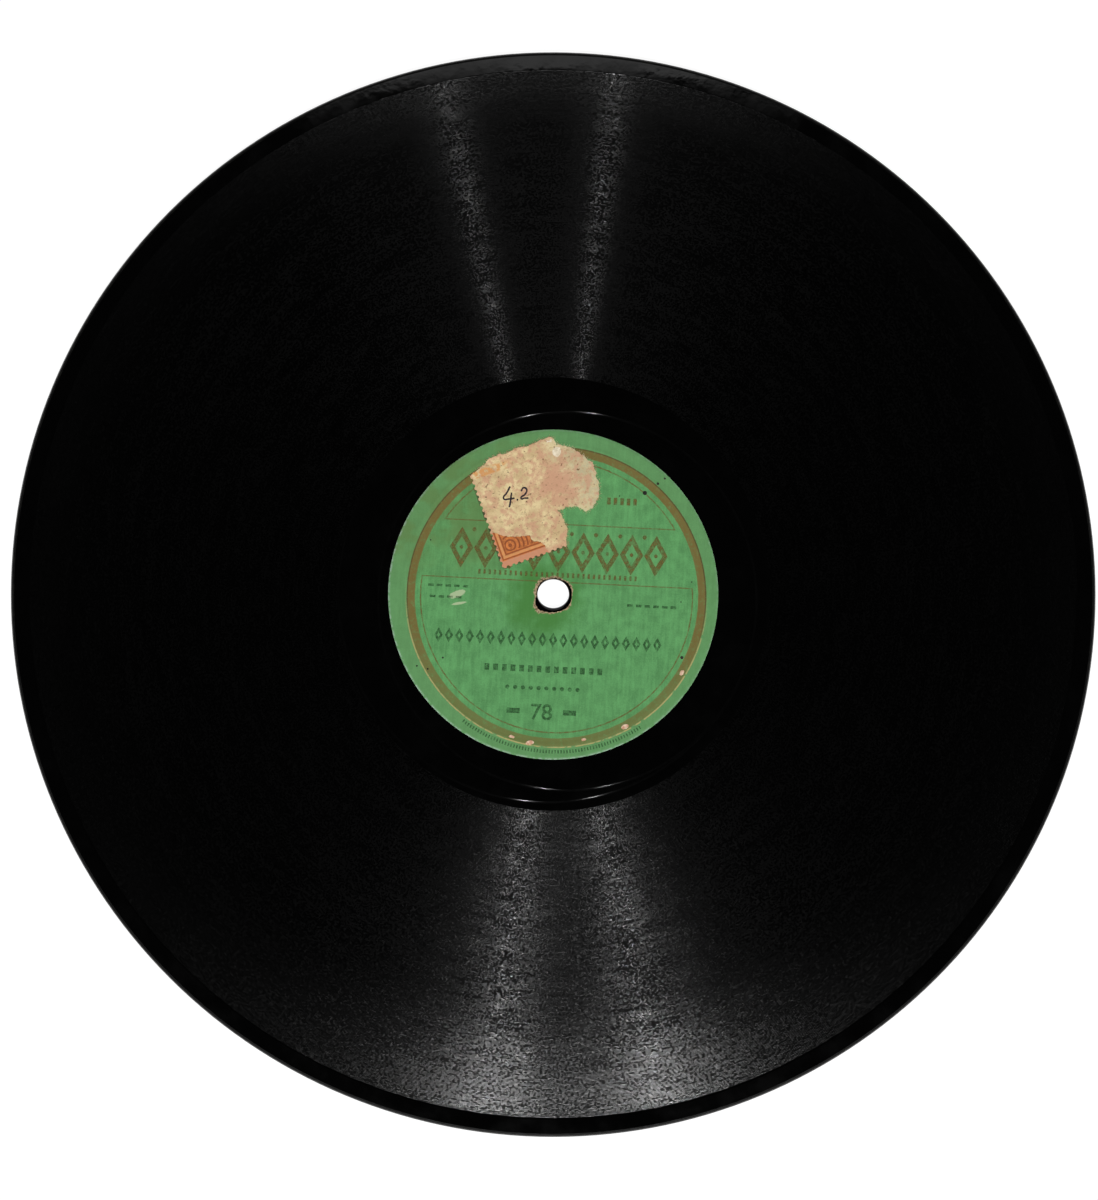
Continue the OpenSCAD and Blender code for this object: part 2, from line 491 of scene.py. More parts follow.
def shader_group(outputs, *inputs):
    """Makes a drawing a shader group with a place and other inputs, drawn on its first use"""
    names = ("Place", *inputs)

    def grouped(draw):
        def use(place, *values):
            group = bpy.data.node_groups.get(draw.__name__)
            if not group:
                group = bpy.data.node_groups.new(draw.__name__, "ShaderNodeTree")
                for name in names:
                    kind = "NodeSocketVector" if name == "Place" else "NodeSocketFloat"
                    group.interface.new_socket(name=name, in_out="INPUT", socket_type=kind)
                for name in outputs:
                    group.interface.new_socket(name=name, in_out="OUTPUT", socket_type="NodeSocketFloat")
                source = group.nodes.new("NodeGroupInput").outputs
                drawn = draw(*[Wire(group, source[name]) for name in names])
                add_node(group, "NodeGroupOutput", dict(zip(outputs, drawn)))
            filled = dict(zip(names, (place, *values)))
            return wired(place.tree, "ShaderNodeGroup", filled, outputs, node_tree=group)
        return use
    return grouped


@shader_group(("Tone", "Height"))
def paper_grain(place):
    """Mottled tone and relief of old paper"""
    mottle = grain(place, 0.35, 5.0, 0.62)
    streaks = grain(stretch(place, 1.6, 0.16), 1.0, 3.0)
    fine = grain(place, 3.4, 3.0, 0.6)
    return fine * 0.3 + (mottle * 0.4 + streaks * 0.3), fine * 0.6 + mottle * 0.4


@shader_group(("Share",), "Cover")
def worn_ink(place, cover):
    """How much of an ink is left at a place"""
    blots = ramp(grain(place, 0.9, 5.0, 0.7), 0.34, 0.6, 0.35, 1.0)
    wear_and_highlight = ramp(grain(place, 4.5, 2.0), 0.3, 0.55, 0.55, 1.0)
    return [blots * wear_and_highlight * cover]


@shader_group(("Mask",), "Amount")
def dust(place, amount):
    """Sparse fine dust"""
    specks = ramp(grain(place, 1.7, 3.0, 0.7), 0.7, 0.78)
    clouds = ramp(grain(place, 0.05, 3.0), 0.4, 0.65)
    return [specks * clouds * amount]


@shader_group(("Ring", "Rules", "Margin"))
def label_print(place):
    """The printed ring and rules of a label, in the print's own frame"""
    ragged = grain(place, 1.4, 3.0) * 0.24 + -0.12
    radius = flat_radius(place) + ragged
    height = ragged * 0.3 + parts_of(place)[1]
    inside = ramp(radius, 31.2, 31.5, 1.0, 0.0)
    fields = most(ramp(height, 3.5, 3.3), ramp(height, 16.6, 16.8))
    rules = band(radius, 31.15, 31.45, 0.08) * fields
    for level in (3.4, 16.7):
        rules = most(rules, band(height, level - 0.12, level + 0.12, 0.07) * inside)
    return band(radius, 32.6, 34.5, 0.12), rules, ramp(radius, 34.3, 34.7)


def material_of(name, paint, *values):
    """Material of a name, painted on its first use; the paint gives inputs of the Principled node"""
    material = bpy.data.materials.get(name)
    if material:
        return material
    material = bpy.data.materials.new(name)
    material.use_nodes = True
    tree = material.node_tree
    tree.nodes.clear()
    surface = tree.nodes.new("ShaderNodeBsdfPrincipled")
    add_node(tree, "ShaderNodeOutputMaterial", {"Surface": Wire(tree, surface.outputs[0])})
    for key, value in paint(tree, *values).items():
        fill(tree, surface.inputs[key.replace("_", " ")], value)
    return material


def paint_shellac(tree, disc):
    """Glossy black shellac of the rim, the run-out and the label's seat"""
    place = object_place(tree)
    [mask] = dust(place, 0.25)
    smear = grain(stretch(place, 0.3, 0.3), 0.4, 4.0, 0.6)
    return dict(
        Base_Color=blend(mask, disc.colour, (0.05, 0.048, 0.045)),
        Roughness=ramp(smear, 0.3, 0.7, 0.05, 0.13),
        Normal=bump(grain(place, 0.5, 2.0), 0.014),
    )


def paint_groove(tree, disc, worn):
    """Shellac of the groove's walls: those that face outwards are worn, the others are smoother"""
    place = object_place(tree)
    radius = flat_radius(place)
    [mask] = dust(place, 0.1)
    loud = grain(groove_place(place, 6.0, 0.35), 1.0, 3.0, 0.6)
    streak = grain(groove_place(place, 16.0, 1.5), 1.0, 2.0, 0.6)
    loud = streak * 0.5 + loud * 0.5
    grit = grain(groove_place(place, 170.0, 2.6), 1.0, 1.0)
    glint = grain(groove_place(place, 170.0, 2.8), 1.0, 0.0)
    glint = ramp(loud * 0.6 + glint, 0.89, 0.96)
    tired = ramp(radius, 92.0, 118.0)
    first_turns = ramp(radius, 108.0, 121.0)
    dull = ramp(loud * 0.7 + (tired * 0.06 + grit), 0.9, 0.7)
    gloss = ramp(grit, 0.36, 0.66, 0.1, 1.15)
    if worn:
        polish = glint * -0.115 + 0.232
        shine = (tired * 0.3 + first_turns * 0.22) * gloss
        shine = glint * (tired * 0.6 + 0.22) + shine
    else:
        sparkle = grain(place, 2.2, 1.0).calc("GREATER_THAN", 0.58) * band(radius, 84.0, 99.0, 5.0)
        sparkle = most(sparkle, ramp(radius, 52.8, 50.4, 0.0, 1.3))
        polish = glint * -0.11 + (sparkle * -0.07 + 0.2)
        shine = first_turns * 0.07 * gloss
    return dict(
        Base_Color=blend(mask, disc.colour, (0.01, 0.01, 0.009)),
        Roughness=dull * (0.45 if worn else 0.7) + polish,
        Specular_IOR_Level=0.068 if worn else 0.02,
        Anisotropic=0.8 if worn else 1.0,
        Anisotropic_Rotation=0.25,
        Coat_Weight=shine,
        Coat_Roughness=0.2 if worn else 0.28,
    )


def paint_run_out(tree, disc):
    """Polished walls of the lead-out and the stop groove"""
    smear = grain(object_place(tree), 0.4, 3.0)
    return dict(
        Base_Color=blend(smear, disc.colour, (0.002, 0.002, 0.002)),
        Roughness=ramp(smear, 0.3, 0.7, 0.12, 0.15),
        Specular_IOR_Level=0.07,
        Anisotropic=1.0,
        Anisotropic_Rotation=0.25,
    )


def paint_edge(tree, disc):
    """Shellac of the rounded edge, worn dull by handling"""
    place = object_place(tree)
    wear_and_highlight = grain(place, 0.6, 4.0, 0.65)
    return dict(
        Base_Color=blend(ramp(wear_and_highlight, 0.45, 0.7), disc.colour, (0.004, 0.004, 0.003)),
        Roughness=ramp(wear_and_highlight, 0.3, 0.7, 0.5, 0.65),
        Specular_IOR_Level=0.1,
        Normal=bump(grain(place, 2.0, 3.0), 0.01),
    )


def paint_core(tree):
    """Coarse filled shellac, with pale grains of filler"""
    place = object_place(tree)
    grains = ramp(grain(place, 6.0, 3.0), 0.58, 0.72)
    return dict(
        Base_Color=blend(grains, (0.006, 0.0055, 0.005), (0.05, 0.042, 0.034)),
        Roughness=ramp(grain(place, 2.0), 0.3, 0.7, 0.35, 0.6),
        Normal=bump(grain(place, 5.0, 3.0), 0.02),
    )


def paint_ply(tree):
    """Brown paper soaked with shellac"""
    tone, height = paper_grain(object_place(tree))
    colour = blend(tone, (0.22, 0.15, 0.08), (0.5, 0.38, 0.22))
    return dict(Base_Color=colour, Roughness=0.8, Normal=bump(height, 0.02))


def paint_label(tree, label, stamp, front):
    """Worn green paper with its printed ring and rules, with painted shade and a painted highlight along the
    pressed ring and, on the front, painted shade at the stamp's edges
    """
    shift_x, shift_y = label.print_shift
    if front:
        place = object_place(tree, (shift_x, shift_y, 0), (0, 0, label.print_turn))
    else:
        place = object_place(tree, (shift_x, -shift_y, 0), (math.pi, 0, -label.print_turn))
    x, y, _ = parts_of(place)
    radius = flat_radius(place)
    tone, height = paper_grain(place)
    ring, rules, margin = label_print(place)
    [ink] = worn_ink(place, 1.0)
    green, brown = Vector(label.paper), Vector(label.brown)
    soiled = ramp(x, 4.0, -24.0) * ramp(y, 0.0, 12.0)
    soiled *= ramp(grain(place, 0.22, 4.0), 0.35, 0.6, 0.2, 0.75)
    spill = grain(place, 0.3, 4.0) * 9.0 + flat_radius(seen_from(place, -2.6, -0.6))
    ring_ink = blend(ramp(y, -6.0, -26.0), brown, (0.133, 0.15, 0.042))
    # Painted shade: a dark line along the pressed ring's outer edge, on its upper side, away from the lamps
    painted_ring_shade = band(radius, 34.25, 34.5, 0.1) * ramp(y, -14.0, 2.0, 0.0, 0.75) * ramp(ink, 0.1, 0.5)
    # Painted highlight, partly worn paper: a pale broken line along the pressed ring's outer edge, on its
    # lower side, which faces the lamps
    wear_and_highlight = band(radius, 34.55, 34.8, 0.12) * ramp(grain(place, 0.7, 4.0, 0.7), 0.36, 0.5)
    wear_and_highlight *= ramp(y, 4.0, -16.0)
    # A pale broken line along the label's edge, stronger towards the lower left
    pale_lower_left_edge = ramp(flat_radius(object_place(tree)), 37.45, 37.9)
    pale_lower_left_edge *= ramp(grain(place, 1.1, 4.0, 0.7), 0.38, 0.6)
    pale_lower_left_edge *= ramp(x + y, 20.0, -40.0, 0.25, 0.75)
    layers = [
        (margin * 0.6, (0.108, 0.25, 0.093)),
        (soiled, (0.1, 0.19, 0.055)),
        (ramp(spill, 16.0, 9.0, 0.0, 0.9), (0.05, 0.185, 0.035)),
        (ring * ramp(ink, 0.1, 0.7, 0.6, 0.95), ring_ink),
        (rules * ink, brown * 0.75),
        (painted_ring_shade, (0.05, 0.04, 0.012)),
        (wear_and_highlight, (0.42, 0.33, 0.13)),
        (ramp(grain(place, 2.4, 4.0, 0.75), 0.64, 0.74, 0.0, 0.4), (0.3, 0.42, 0.2)),
        (pale_lower_left_edge, (0.33, 0.45, 0.36)),
    ]
    if front:
        scuff = most(
            stain(place, (-22.9, -0.5), (1.9, 0.75), math.radians(24)),
            stain(place, (-22.4, -2.6), (1.7, 0.3), math.radians(12)),
        )
        sheet = on_stamp(tree, stamp)
        left, low, _ = parts_of(sheet)
        # Painted shade, with some dirt: a dark broken band on the label along the stamp's left and lower
        # edges
        stamp_shade_and_dirt = most(
            band(left, -0.15, 0.5, 0.12) * band(low, 0.0, 21.0, 1.0),
            band(low, -0.15, 0.5, 0.12) * band(left, 0.0, 15.0, 1.0),
        )
        stamp_shade_and_dirt *= ramp(grain(sheet, 0.5, 3.0), 0.38, 0.58, 0.0, 0.9)
        layers += [(scuff * 0.8, (0.42, 0.5, 0.3)), (stamp_shade_and_dirt, (0.035, 0.03, 0.012))]
    frayed = wired(tree, "ShaderNodeAttribute", keys="Fac", attribute_name="frayed")
    fibres = grain(place, 2.2, 4.0, 0.7)
    torn = blend(ramp(fibres, 0.35, 0.62), (0.07, 0.035, 0.015), (0.42, 0.32, 0.19))
    layers.append((ramp(fibres * 1.3 + frayed, 0.9, 1.2), torn))
    return dict(
        Base_Color=layered(blend(ramp(tone, 0.36, 0.64), green * 0.78, green * 1.2), *layers),
        Roughness=ramp(tone, 0.3, 0.7, 0.9, 0.7),
        Specular_IOR_Level=0.25,
        Normal=bump(height, 0.035),
    )


def paint_ink(tree, colour, cover):
    """Ink of printed marks, worn so that the paper shows through"""
    place = object_place(tree)
    [share] = worn_ink(place, cover)
    ink = Vector(colour)
    return dict(
        Base_Color=blend(grain(place, 0.8, 3.0), ink * 0.8, ink * 1.2),
        Roughness=0.8,
        Specular_IOR_Level=0.2,
        Alpha=share,
    )


def paint_mottled(tree, dark, light, scale, roughness, relief):
    """Colour that varies between two tones, with a relief of its own grain"""
    tone = grain(object_place(tree), scale, 4.0, 0.65)
    return dict(
        Base_Color=blend(ramp(tone, 0.3, 0.7), dark, light),
        Roughness=roughness,
        Specular_IOR_Level=0.15,
        Normal=bump(tone, relief),
    )


def paint_stamp(tree, stamp):
    """Torn cream paper, pinkish on its right and with rests of orange print at its upper left edge"""
    place = on_stamp(tree, stamp)
    x, y, _ = parts_of(place)
    _, height = paper_grain(place)
    fuzz = grain(place, 1.5, 5.0, 0.75)
    patches = ramp(grain(place, 0.28, 4.0, 0.6), 0.38, 0.62)
    thin = ramp(x, 15.0, 27.0) * ramp(fuzz, 0.34, 0.6, 0.25, 1.0)
    rosy = ramp(grain(place, 0.5, 4.0, 0.65), 0.47, 0.59, 0.0, 0.72)
    heart = flat_radius(stretch(seen_from(place, 18.2, 14.6), 1.1, 0.9))
    flush = ramp(heart * -0.05 + grain(place, 0.45, 5.0, 0.7), 0.16, 0.38, 0.0, 0.85)
    border = least(y, y * -1.0 + 25.9, x + 0.9)
    border = ramp(fuzz * 2.2 + border, 3.0, 1.8, 0.0, 0.7)
    trace = band(y, 21.6, 23.4, 0.3) * ramp(x, 11.0, 7.0)
    trace *= ramp(grain(place, 0.8, 4.0, 0.6), 0.45, 0.54)
    colour = layered(
        blend(patches, Vector(stamp.paper) * 0.88, (0.72, 0.58, 0.32)),
        (thin * 0.75, (0.44, 0.42, 0.27)),
        (most(rosy, flush, border), (0.56, 0.3, 0.19)),
        (ramp(fuzz, 0.46, 0.34, 0.0, 0.65), (0.3, 0.17, 0.08)),
        (trace * 0.8, (0.62, 0.27, 0.08)),
        (ramp(grain(place, 0.9, 3.0, 0.6), 0.645, 0.69, 0.0, 0.85), (0.12, 0.06, 0.025)),
    )
    return dict(Base_Color=colour, Roughness=0.9, Specular_IOR_Level=0.2, Normal=bump(height + fuzz, 0.09))


def paint_print(tree, stamp):
    """Orange printed corner with frame lines, a rosette of rings and a pink margin"""
    place = on_stamp(tree, stamp)
    x, y, _ = parts_of(place)
    inset = least(x + 1.1, y)
    orange = Vector(stamp.orange)
    tone = grain(place, 1.3, 4.0, 0.65)
    rosette = (flat_radius(seen_from(place, 3.4, 4.6)) * 6.5).calc("SINE")
    scroll = ramp(tone * 1.6 + rosette, 0.9, 1.4) * ramp(inset, 3.2, 3.4)
    lines = most(band(inset, 1.75, 2.0, 0.08), band(inset, 2.75, 3.05, 0.08))
    colour = layered(
        blend(ramp(tone, 0.35, 0.65), orange * 0.7, orange * 1.25),
        (scroll * 0.85, (0.2, 0.045, 0.01)),
        (lines * 0.9, (0.24, 0.055, 0.012)),
        (band(inset, 2.1, 2.65, 0.1) * 0.6, (0.68, 0.34, 0.13)),
        (ramp(tone * 0.5 + inset, 1.95, 1.75) * 0.9, (0.55, 0.25, 0.14)),
        (ramp(grain(place, 0.9, 3.0, 0.7), 0.68, 0.73), (0.08, 0.03, 0.012)),
    )
    return dict(Base_Color=colour, Roughness=0.7, Specular_IOR_Level=0.3, Normal=bump(tone, 0.05))


def paint_floor(tree, stage):
    """Pale floor that gives off its own brightness; dark under the disc except for a glowing oval below its
    hole, set off-centre so that a painted shadow shows along the hole's lower edge
    """
    place = object_place(tree)
    # Painted light and shadow: the floor glows in an oval a little above the hole's centre, so a dark painted
    # shadow shows in the hole, widest along its lower edge
    painted_light_under_hole = ramp(flat_radius(stretch(seen_from(place, 0.0, 0.2), 0.9, 1.0)), 3.4, 3.2)
    open_floor = most(ramp(flat_radius(place), 8.0, 30.0), painted_light_under_hole)
    shade = Vector(stage.floor)
    dark = (0.02, 0.02, 0.02)
    glow = blend(grain(place, 0.02, 2.0), shade * 0.99, shade)
    return dict(
        Base_Color=blend(open_floor, dark, (0.1, 0.1, 0.1)),
        Roughness=1.0,
        Specular_IOR_Level=0.0,
        Emission_Color=blend(open_floor, dark, glow),
        Emission_Strength=1.0,
    )


# Socket of a geometry tree's input for each type of value
KINDS = {int: "NodeSocketInt", float: "NodeSocketFloat", tuple: "NodeSocketVector"}


def socket_name(key):
    """Name of the input that takes a value"""
    return key.replace("_", " ").capitalize()


def geometry_tree(grow, values):
    """Geometry tree that a function grows on its first use, with a named input for each value"""
    tree = bpy.data.node_groups.get(grow.__name__)
    if tree:
        return tree
    tree = bpy.data.node_groups.new(grow.__name__, "GeometryNodeTree")
    kinds = {"geometry": "NodeSocketGeometry"}
    kinds.update((key, KINDS[type(value)]) for key, value in values.items())
    kinds["material"] = "NodeSocketMaterial"
    for key, kind in kinds.items():
        tree.interface.new_socket(name=socket_name(key), in_out="INPUT", socket_type=kind)
    tree.interface.new_socket(name="Geometry", in_out="OUTPUT", socket_type="NodeSocketGeometry")
    source = tree.nodes.new("NodeGroupInput").outputs
    base, *wires, material = [Wire(tree, source[i]) for i in range(len(kinds))]
    node = partial(wired, tree)
    real = node("GeometryNodeRealizeInstances", {0: grow(node, base, **dict(zip(values, wires)))})
    painted = node("GeometryNodeSetMaterial", {"Geometry": real, "Material": material})
    add_node(tree, "NodeGroupOutput", {0: painted})
    return tree


def grown_mesh(name, grow, base, material, **values):
    """Plain mesh that a geometry tree grows from a base mesh"""
    holder = bpy.data.objects.new(name, base)
    modifier = holder.modifiers.new("grow", "NODES")
    modifier.node_group = geometry_tree(grow, values)
    given = {socket_name(key): value for key, value in values.items()}
    given["Material"] = material
    for item in modifier.node_group.interface.items_tree:
        if item.in_out == "INPUT" and item.name in given:
            modifier[item.identifier] = given[item.name]
    mesh = evaluated_mesh(holder)
    mesh.name = name
    mesh.materials.clear()
    mesh.materials.append(material)
    mesh.polygons.foreach_set("material_index", [0] * len(mesh.polygons))
    return mesh


def join(node, first, second):
    """One shape of two"""
    whole = node("GeometryNodeJoinGeometry")
    for shape in (first, second):
        whole.tree.links.new(shape.socket, whole.socket.node.inputs[0])
    return whole


def named(node, name):
    """A vector that the points carry under a name"""
    return node("GeometryNodeInputNamedAttribute", {"Name": name}, data_type="FLOAT_VECTOR")


def rotation(node, angles):
    """Rotation by three angles"""
    return node("FunctionNodeEulerToRotation", {0: angles})


def spiral_band(node, _, first_radius, turns, pitch, depth, steps, top, floor):
    """A recorded band: one unbroken spiral groove, closed underneath"""
    rows = turns * 4.0
    grid = node("GeometryNodeMeshGrid", {
        "Size X": 1.0, "Size Y": 1.0, "Vertices X": steps + 1.0, "Vertices Y": rows + 1.0,
    })
    x, y, _ = parts_of(node("GeometryNodeInputPosition"))
    along = x + 0.5
    row = ((y + 0.5) * rows).calc("ROUND")
    turn = row * 0.25 + along
    phase = row * (math.pi / 2)
    loudness = node("ShaderNodeTexNoise", {"W": turn, "Scale": 0.11, "Detail": 3.0}, noise_dimensions="1D")
    dip = (phase.calc("COSINE") * -0.5 + 0.5) * (loudness * 0.7 + 0.65) * depth
    tagged = node("GeometryNodeStoreNamedAttribute", {
        "Geometry": grid, "Name": "outward", "Value": phase.calc("SINE") * -0.5 + 0.5,
    }, data_type="FLOAT", domain="POINT")
    spot = on_circle(first_radius - turn * pitch, along * TAU, top - dip)
    bent = node("GeometryNodeSetPosition", {"Geometry": tagged, "Position": spot})
    joined = node("GeometryNodeMergeByDistance", {"Geometry": bent, "Distance": WELD})
    border = node("FunctionNodeCompare", {
        2: node("GeometryNodeInputMeshEdgeNeighbors"), 3: 1,
    }, data_type="INT", operation="EQUAL")
    skirt, feet = node("GeometryNodeExtrudeMesh", {
        "Mesh": joined, "Selection": border, "Offset": (0.0, 0.0, -1.0), "Offset Scale": 0.1 * MM,
    }, ("Mesh", "Top"), mode="EDGES")
    foot_x, foot_y, _ = parts_of(node("GeometryNodeInputPosition"))
    walled = node("GeometryNodeSetPosition", {
        "Geometry": skirt, "Selection": feet, "Position": xyz(foot_x, foot_y, floor),
    })
    outline = node("GeometryNodeMeshToCurve", {"Mesh": walled, "Selection": feet})
    under = node("GeometryNodeFillCurve", {"Curve": outline}, mode="TRIANGLES")
    lifted = node("GeometryNodeSetPosition", {"Geometry": under, "Offset": xyz(0.0, 0.0, floor)})
    closed = node("GeometryNodeMergeByDistance", {"Geometry": join(node, walled, lifted), "Distance": WELD})
    return node("GeometryNodeSetShadeSmooth", {"Geometry": closed})


def motif_row(node, motif, count, start, step):
    """A row of print: one motif repeated along a line"""
    line = node("GeometryNodeMeshLine", {"Count": count, "Start Location": start, "Offset": step})
    return node("GeometryNodeInstanceOnPoints", {"Points": line, "Instance": motif})


def motif_arc(node, motif, count, radius, first_angle, step_angle, lift):
    """An arc of print: one motif repeated round the print's centre"""
    angle = node("GeometryNodeInputIndex") * step_angle + first_angle
    line = node("GeometryNodeMeshLine", {"Count": count})
    bent = node("GeometryNodeSetPosition", {"Geometry": line, "Position": on_circle(radius, angle, lift)})
    return node("GeometryNodeInstanceOnPoints", {
        "Points": bent, "Instance": motif, "Rotation": rotation(node, xyz(0.0, 0.0, angle)),
    })


def marks(node, points, sides, thickness, rough):
    """Ragged flat marks at given points, each with its own stretch and turn"""
    sheet = node("GeometryNodeMeshCircle", {"Vertices": sides, "Radius": 1.0}, fill_type="NGON")
    placed = node("GeometryNodeInstanceOnPoints", {
        "Points": points, "Instance": sheet, "Scale": named(node, "size"),
        "Rotation": rotation(node, named(node, "facing")),
    })
    real = node("GeometryNodeRealizeInstances", {0: placed})
    shake = node("ShaderNodeTexNoise", {
        "Vector": node("GeometryNodeInputPosition"), "Scale": 2600.0, "Detail": 2.0,
    }, "Color")
    away = stretch(vector("SUBTRACT", shake, (0.5, 0.5, 0.5)), 1.0, 1.0, 0.0)
    away = node("ShaderNodeVectorMath", {0: away, "Scale": rough}, operation="SCALE")
    ragged = node("GeometryNodeSetPosition", {"Geometry": real, "Offset": away})
    raised = node("GeometryNodeExtrudeMesh", {
        "Mesh": ragged, "Offset": (0.0, 0.0, 1.0), "Offset Scale": thickness, "Individual": False,
    }, mode="FACES")
    under = node("GeometryNodeFlipFaces", {0: ragged})
    return node("GeometryNodeMergeByDistance", {"Geometry": join(node, raised, under), "Distance": WELD / 2})


def torn_fibres(node, points, length, width, seed):
    """Loose fibres at points on a torn edge"""
    line = node("GeometryNodeCurvePrimitiveLine", {"Start": (0.0, 0.0, 0.0), "End": (1.0, 0.25, 0.05)})
    steps = node("GeometryNodeResampleCurve", {"Curve": line, "Count": 4}, mode="COUNT")
    profile = node("GeometryNodeCurvePrimitiveCircle", {"Resolution": 3, "Radius": 0.06})
    strand = node("GeometryNodeCurveToMesh", {"Curve": steps, "Profile Curve": profile, "Fill Caps": True})
    swing = node("FunctionNodeRandomValue", {
        0: (0.0, -0.1, -0.9), 1: (0.0, 0.05, 0.9), "Seed": seed,
    }, data_type="FLOAT_VECTOR")
    reach = node("FunctionNodeRandomValue", {2: 0.4, 3: 1.3, "Seed": seed}, 1, data_type="FLOAT")
    return node("GeometryNodeInstanceOnPoints", {
        "Points": points, "Instance": strand, "Scale": xyz(reach * length, width, width),
        "Rotation": rotation(node, vector("ADD", named(node, "facing"), swing)),
    })


def disc_profile(disc, label):
    """Radii that follow from the settings"""
    first = disc.radius - disc.rim_width
    stop = label.radius + disc.stop_gap + disc.stop_offset
    stop_far = stop + disc.stop_offset
    turns = round((first - stop_far - disc.lead_out) / disc.pitch)
    last = first - turns * disc.pitch
    edge = HALF - disc.rim_drop
    return SimpleNamespace(
        first=first, stop=stop, turns=turns, last=last, edge=edge, edge_x=disc.radius - edge,
        split=math.asin(FACE_UNDER / edge), lead_x=(stop_far - last) / 2,
        lead_r=(stop_far + last - disc.pitch / 2) / 2,
    )


def edge_arc(sizes, start, end, steps):
    """Points of the rounded edge from one angle above the middle plane to another"""
    points = []
    for i in range(steps + 1):
        angle = start + (end - start) * i / steps
        points.append((sizes.edge_x + sizes.edge * math.cos(angle), sizes.edge * math.sin(angle)))
    return points


def label_top(label):
    """Height of the label's upper surface beside the pressed ring"""
    return LABEL_HIGH.z - MID - label.ring_height


def eased(share):
    """Share that starts and ends gently"""
    return share * share * (3 - 2 * share)


def ridge_height(label, radius):
    """Height of the pressed ring at a radius"""
    middle = label.radius - label.ring_inset
    return label.ring_height * eased(max(0.0, 1 - abs(radius - middle) / (label.ring_width / 2)))


def ridge_radii(label):
    """Radii at which the pressed ring is drawn, from the outside in"""
    middle = label.radius - label.ring_inset
    shares = (1.05, 0.75, 0.45, 0.15, -0.15, -0.45, -0.75, -1.05)
    return [middle + label.ring_width / 2 * share for share in shares]


def ridge_rings(label):
    """Rings of the label's seat where it follows the pressed ring, from the outside in"""
    return [(radius, SEAT + ridge_height(label, radius)) for radius in ridge_radii(label)]


def run_out_rings(disc, sizes):
    """Rings of the run-out, which bend to follow the lead-out and the stop groove"""
    half = disc.run_out_width / 2
    reach = 1.75
    fade = 0.2
    stop_depth = disc.depth * 1.2
    flank = [(1.7, 0.0), (1.1, 0.08), (0.75, 0.4), (0.35, 0.85)]
    shape = flank + [(0.0, 1.0)] + [(-offset, dip) for offset, dip in reversed(flank)]

    def circle(offset, radius):
        def at(angle):
            turn = angle - disc.stop_angle
            return offset * math.cos(turn) + math.sqrt(radius * radius - (offset * math.sin(turn)) ** 2)
        return at

    stop = circle(disc.stop_offset, sizes.stop)
    lead = circle(sizes.lead_x, sizes.lead_r)

    def lead_depth(angle):
        turn = (angle - disc.stop_angle) % TAU - math.pi
        return min(1.0, max(0.0, turn / fade))

    def lead_ring(offset, dip):
        def radius(angle):
            low = max(lead(angle) - half * reach, stop(angle) + half * reach)
            high = min(max(lead(angle) + half * reach, low + half), sizes.last - half * 0.2)
            return low + (high - low) * (reach + offset) / (2 * reach)
        return radius, lambda angle: HALF - disc.depth * dip * lead_depth(angle)

    def stop_ring(offset, dip):
        return lambda angle: stop(angle) + offset * half, HALF - stop_depth * dip

    return [lead_ring(*point) for point in shape] + [stop_ring(*point) for point in shape]


class RECORD_OT_core(bpy.types.Operator):
    """Build the core, which shows at the disc's edge and in its hole"""

    bl_idname = "record.core"
    bl_label = "Core"

    def execute(self, context):
        disc = context.scene.record.disc
        sizes = disc_profile(disc, context.scene.record.label)
        ply = PLY_HIGH.x
        rings = [(disc.bore, -PLY_UNDER), (ply, -PLY_UNDER), (ply, -FACE_UNDER)]
        rings += edge_arc(sizes, -sizes.split, sizes.split, 16)
        rings += [(ply, FACE_UNDER), (ply, PLY_UNDER), (disc.bore, PLY_UNDER)]
        mesh = loft_rings("core_disc", rings, CORE_STEPS)
        filled = material_of("core_shellac", paint_core)
        finish_piece("core_disc", mesh, side_place(True), [filled], ("core",))
        return {"FINISHED"}


class RECORD_OT_faces(bpy.types.Operator):
    """Build both faces: rim, floor of the recorded band, run-out and label seat"""

    bl_idname = "record.faces"
    bl_label = "Faces"

    def execute(self, context):
        disc, label = context.scene.record.disc, context.scene.record.label
        sizes = disc_profile(disc, label)
        floor = HALF - disc.depth * 1.6
        gap = 0.02 * MM
        rim_in = sizes.first + gap
        band_in = sizes.last - gap
        seat = label.radius + 0.05 * MM
        rings = [(disc.bore, FACE_UNDER)]
        rings += edge_arc(sizes, sizes.split, math.pi / 2, 12)
        rings += [(rim_in + 0.06 * MM, HALF), (rim_in, HALF), (rim_in, floor)]
        rings += [(band_in, floor), (band_in, HALF)]
        rings += run_out_rings(disc, sizes)
        rings += [(seat + 0.12 * MM, HALF), (seat, HALF), (seat, SEAT)]
        rings += ridge_rings(label)
        rings += [(disc.bore, SEAT)]
        materials = [
            material_of("shellac", paint_shellac, disc),
            material_of("run_out_groove", paint_run_out, disc),
            material_of("rubbed_edge", paint_edge, disc),
        ]
        for side, front in SIDES:
            node = side + "_face"
            name = node + "_sheet"
            mesh = loft_rings(name, rings, FACE_STEPS)
            finish_piece(name, mesh, side_place(front), materials, (node,))
            for face in mesh.polygons:
                radius = face.center.xy.length
                run_out = seat + 0.3 * MM < radius < band_in - 0.05 * MM
                if radius > sizes.edge_x + gap:
                    face.material_index = 2
                elif run_out and 0.3 < abs(face.normal.z) < 0.9995:
                    face.material_index = 1
        return {"FINISHED"}


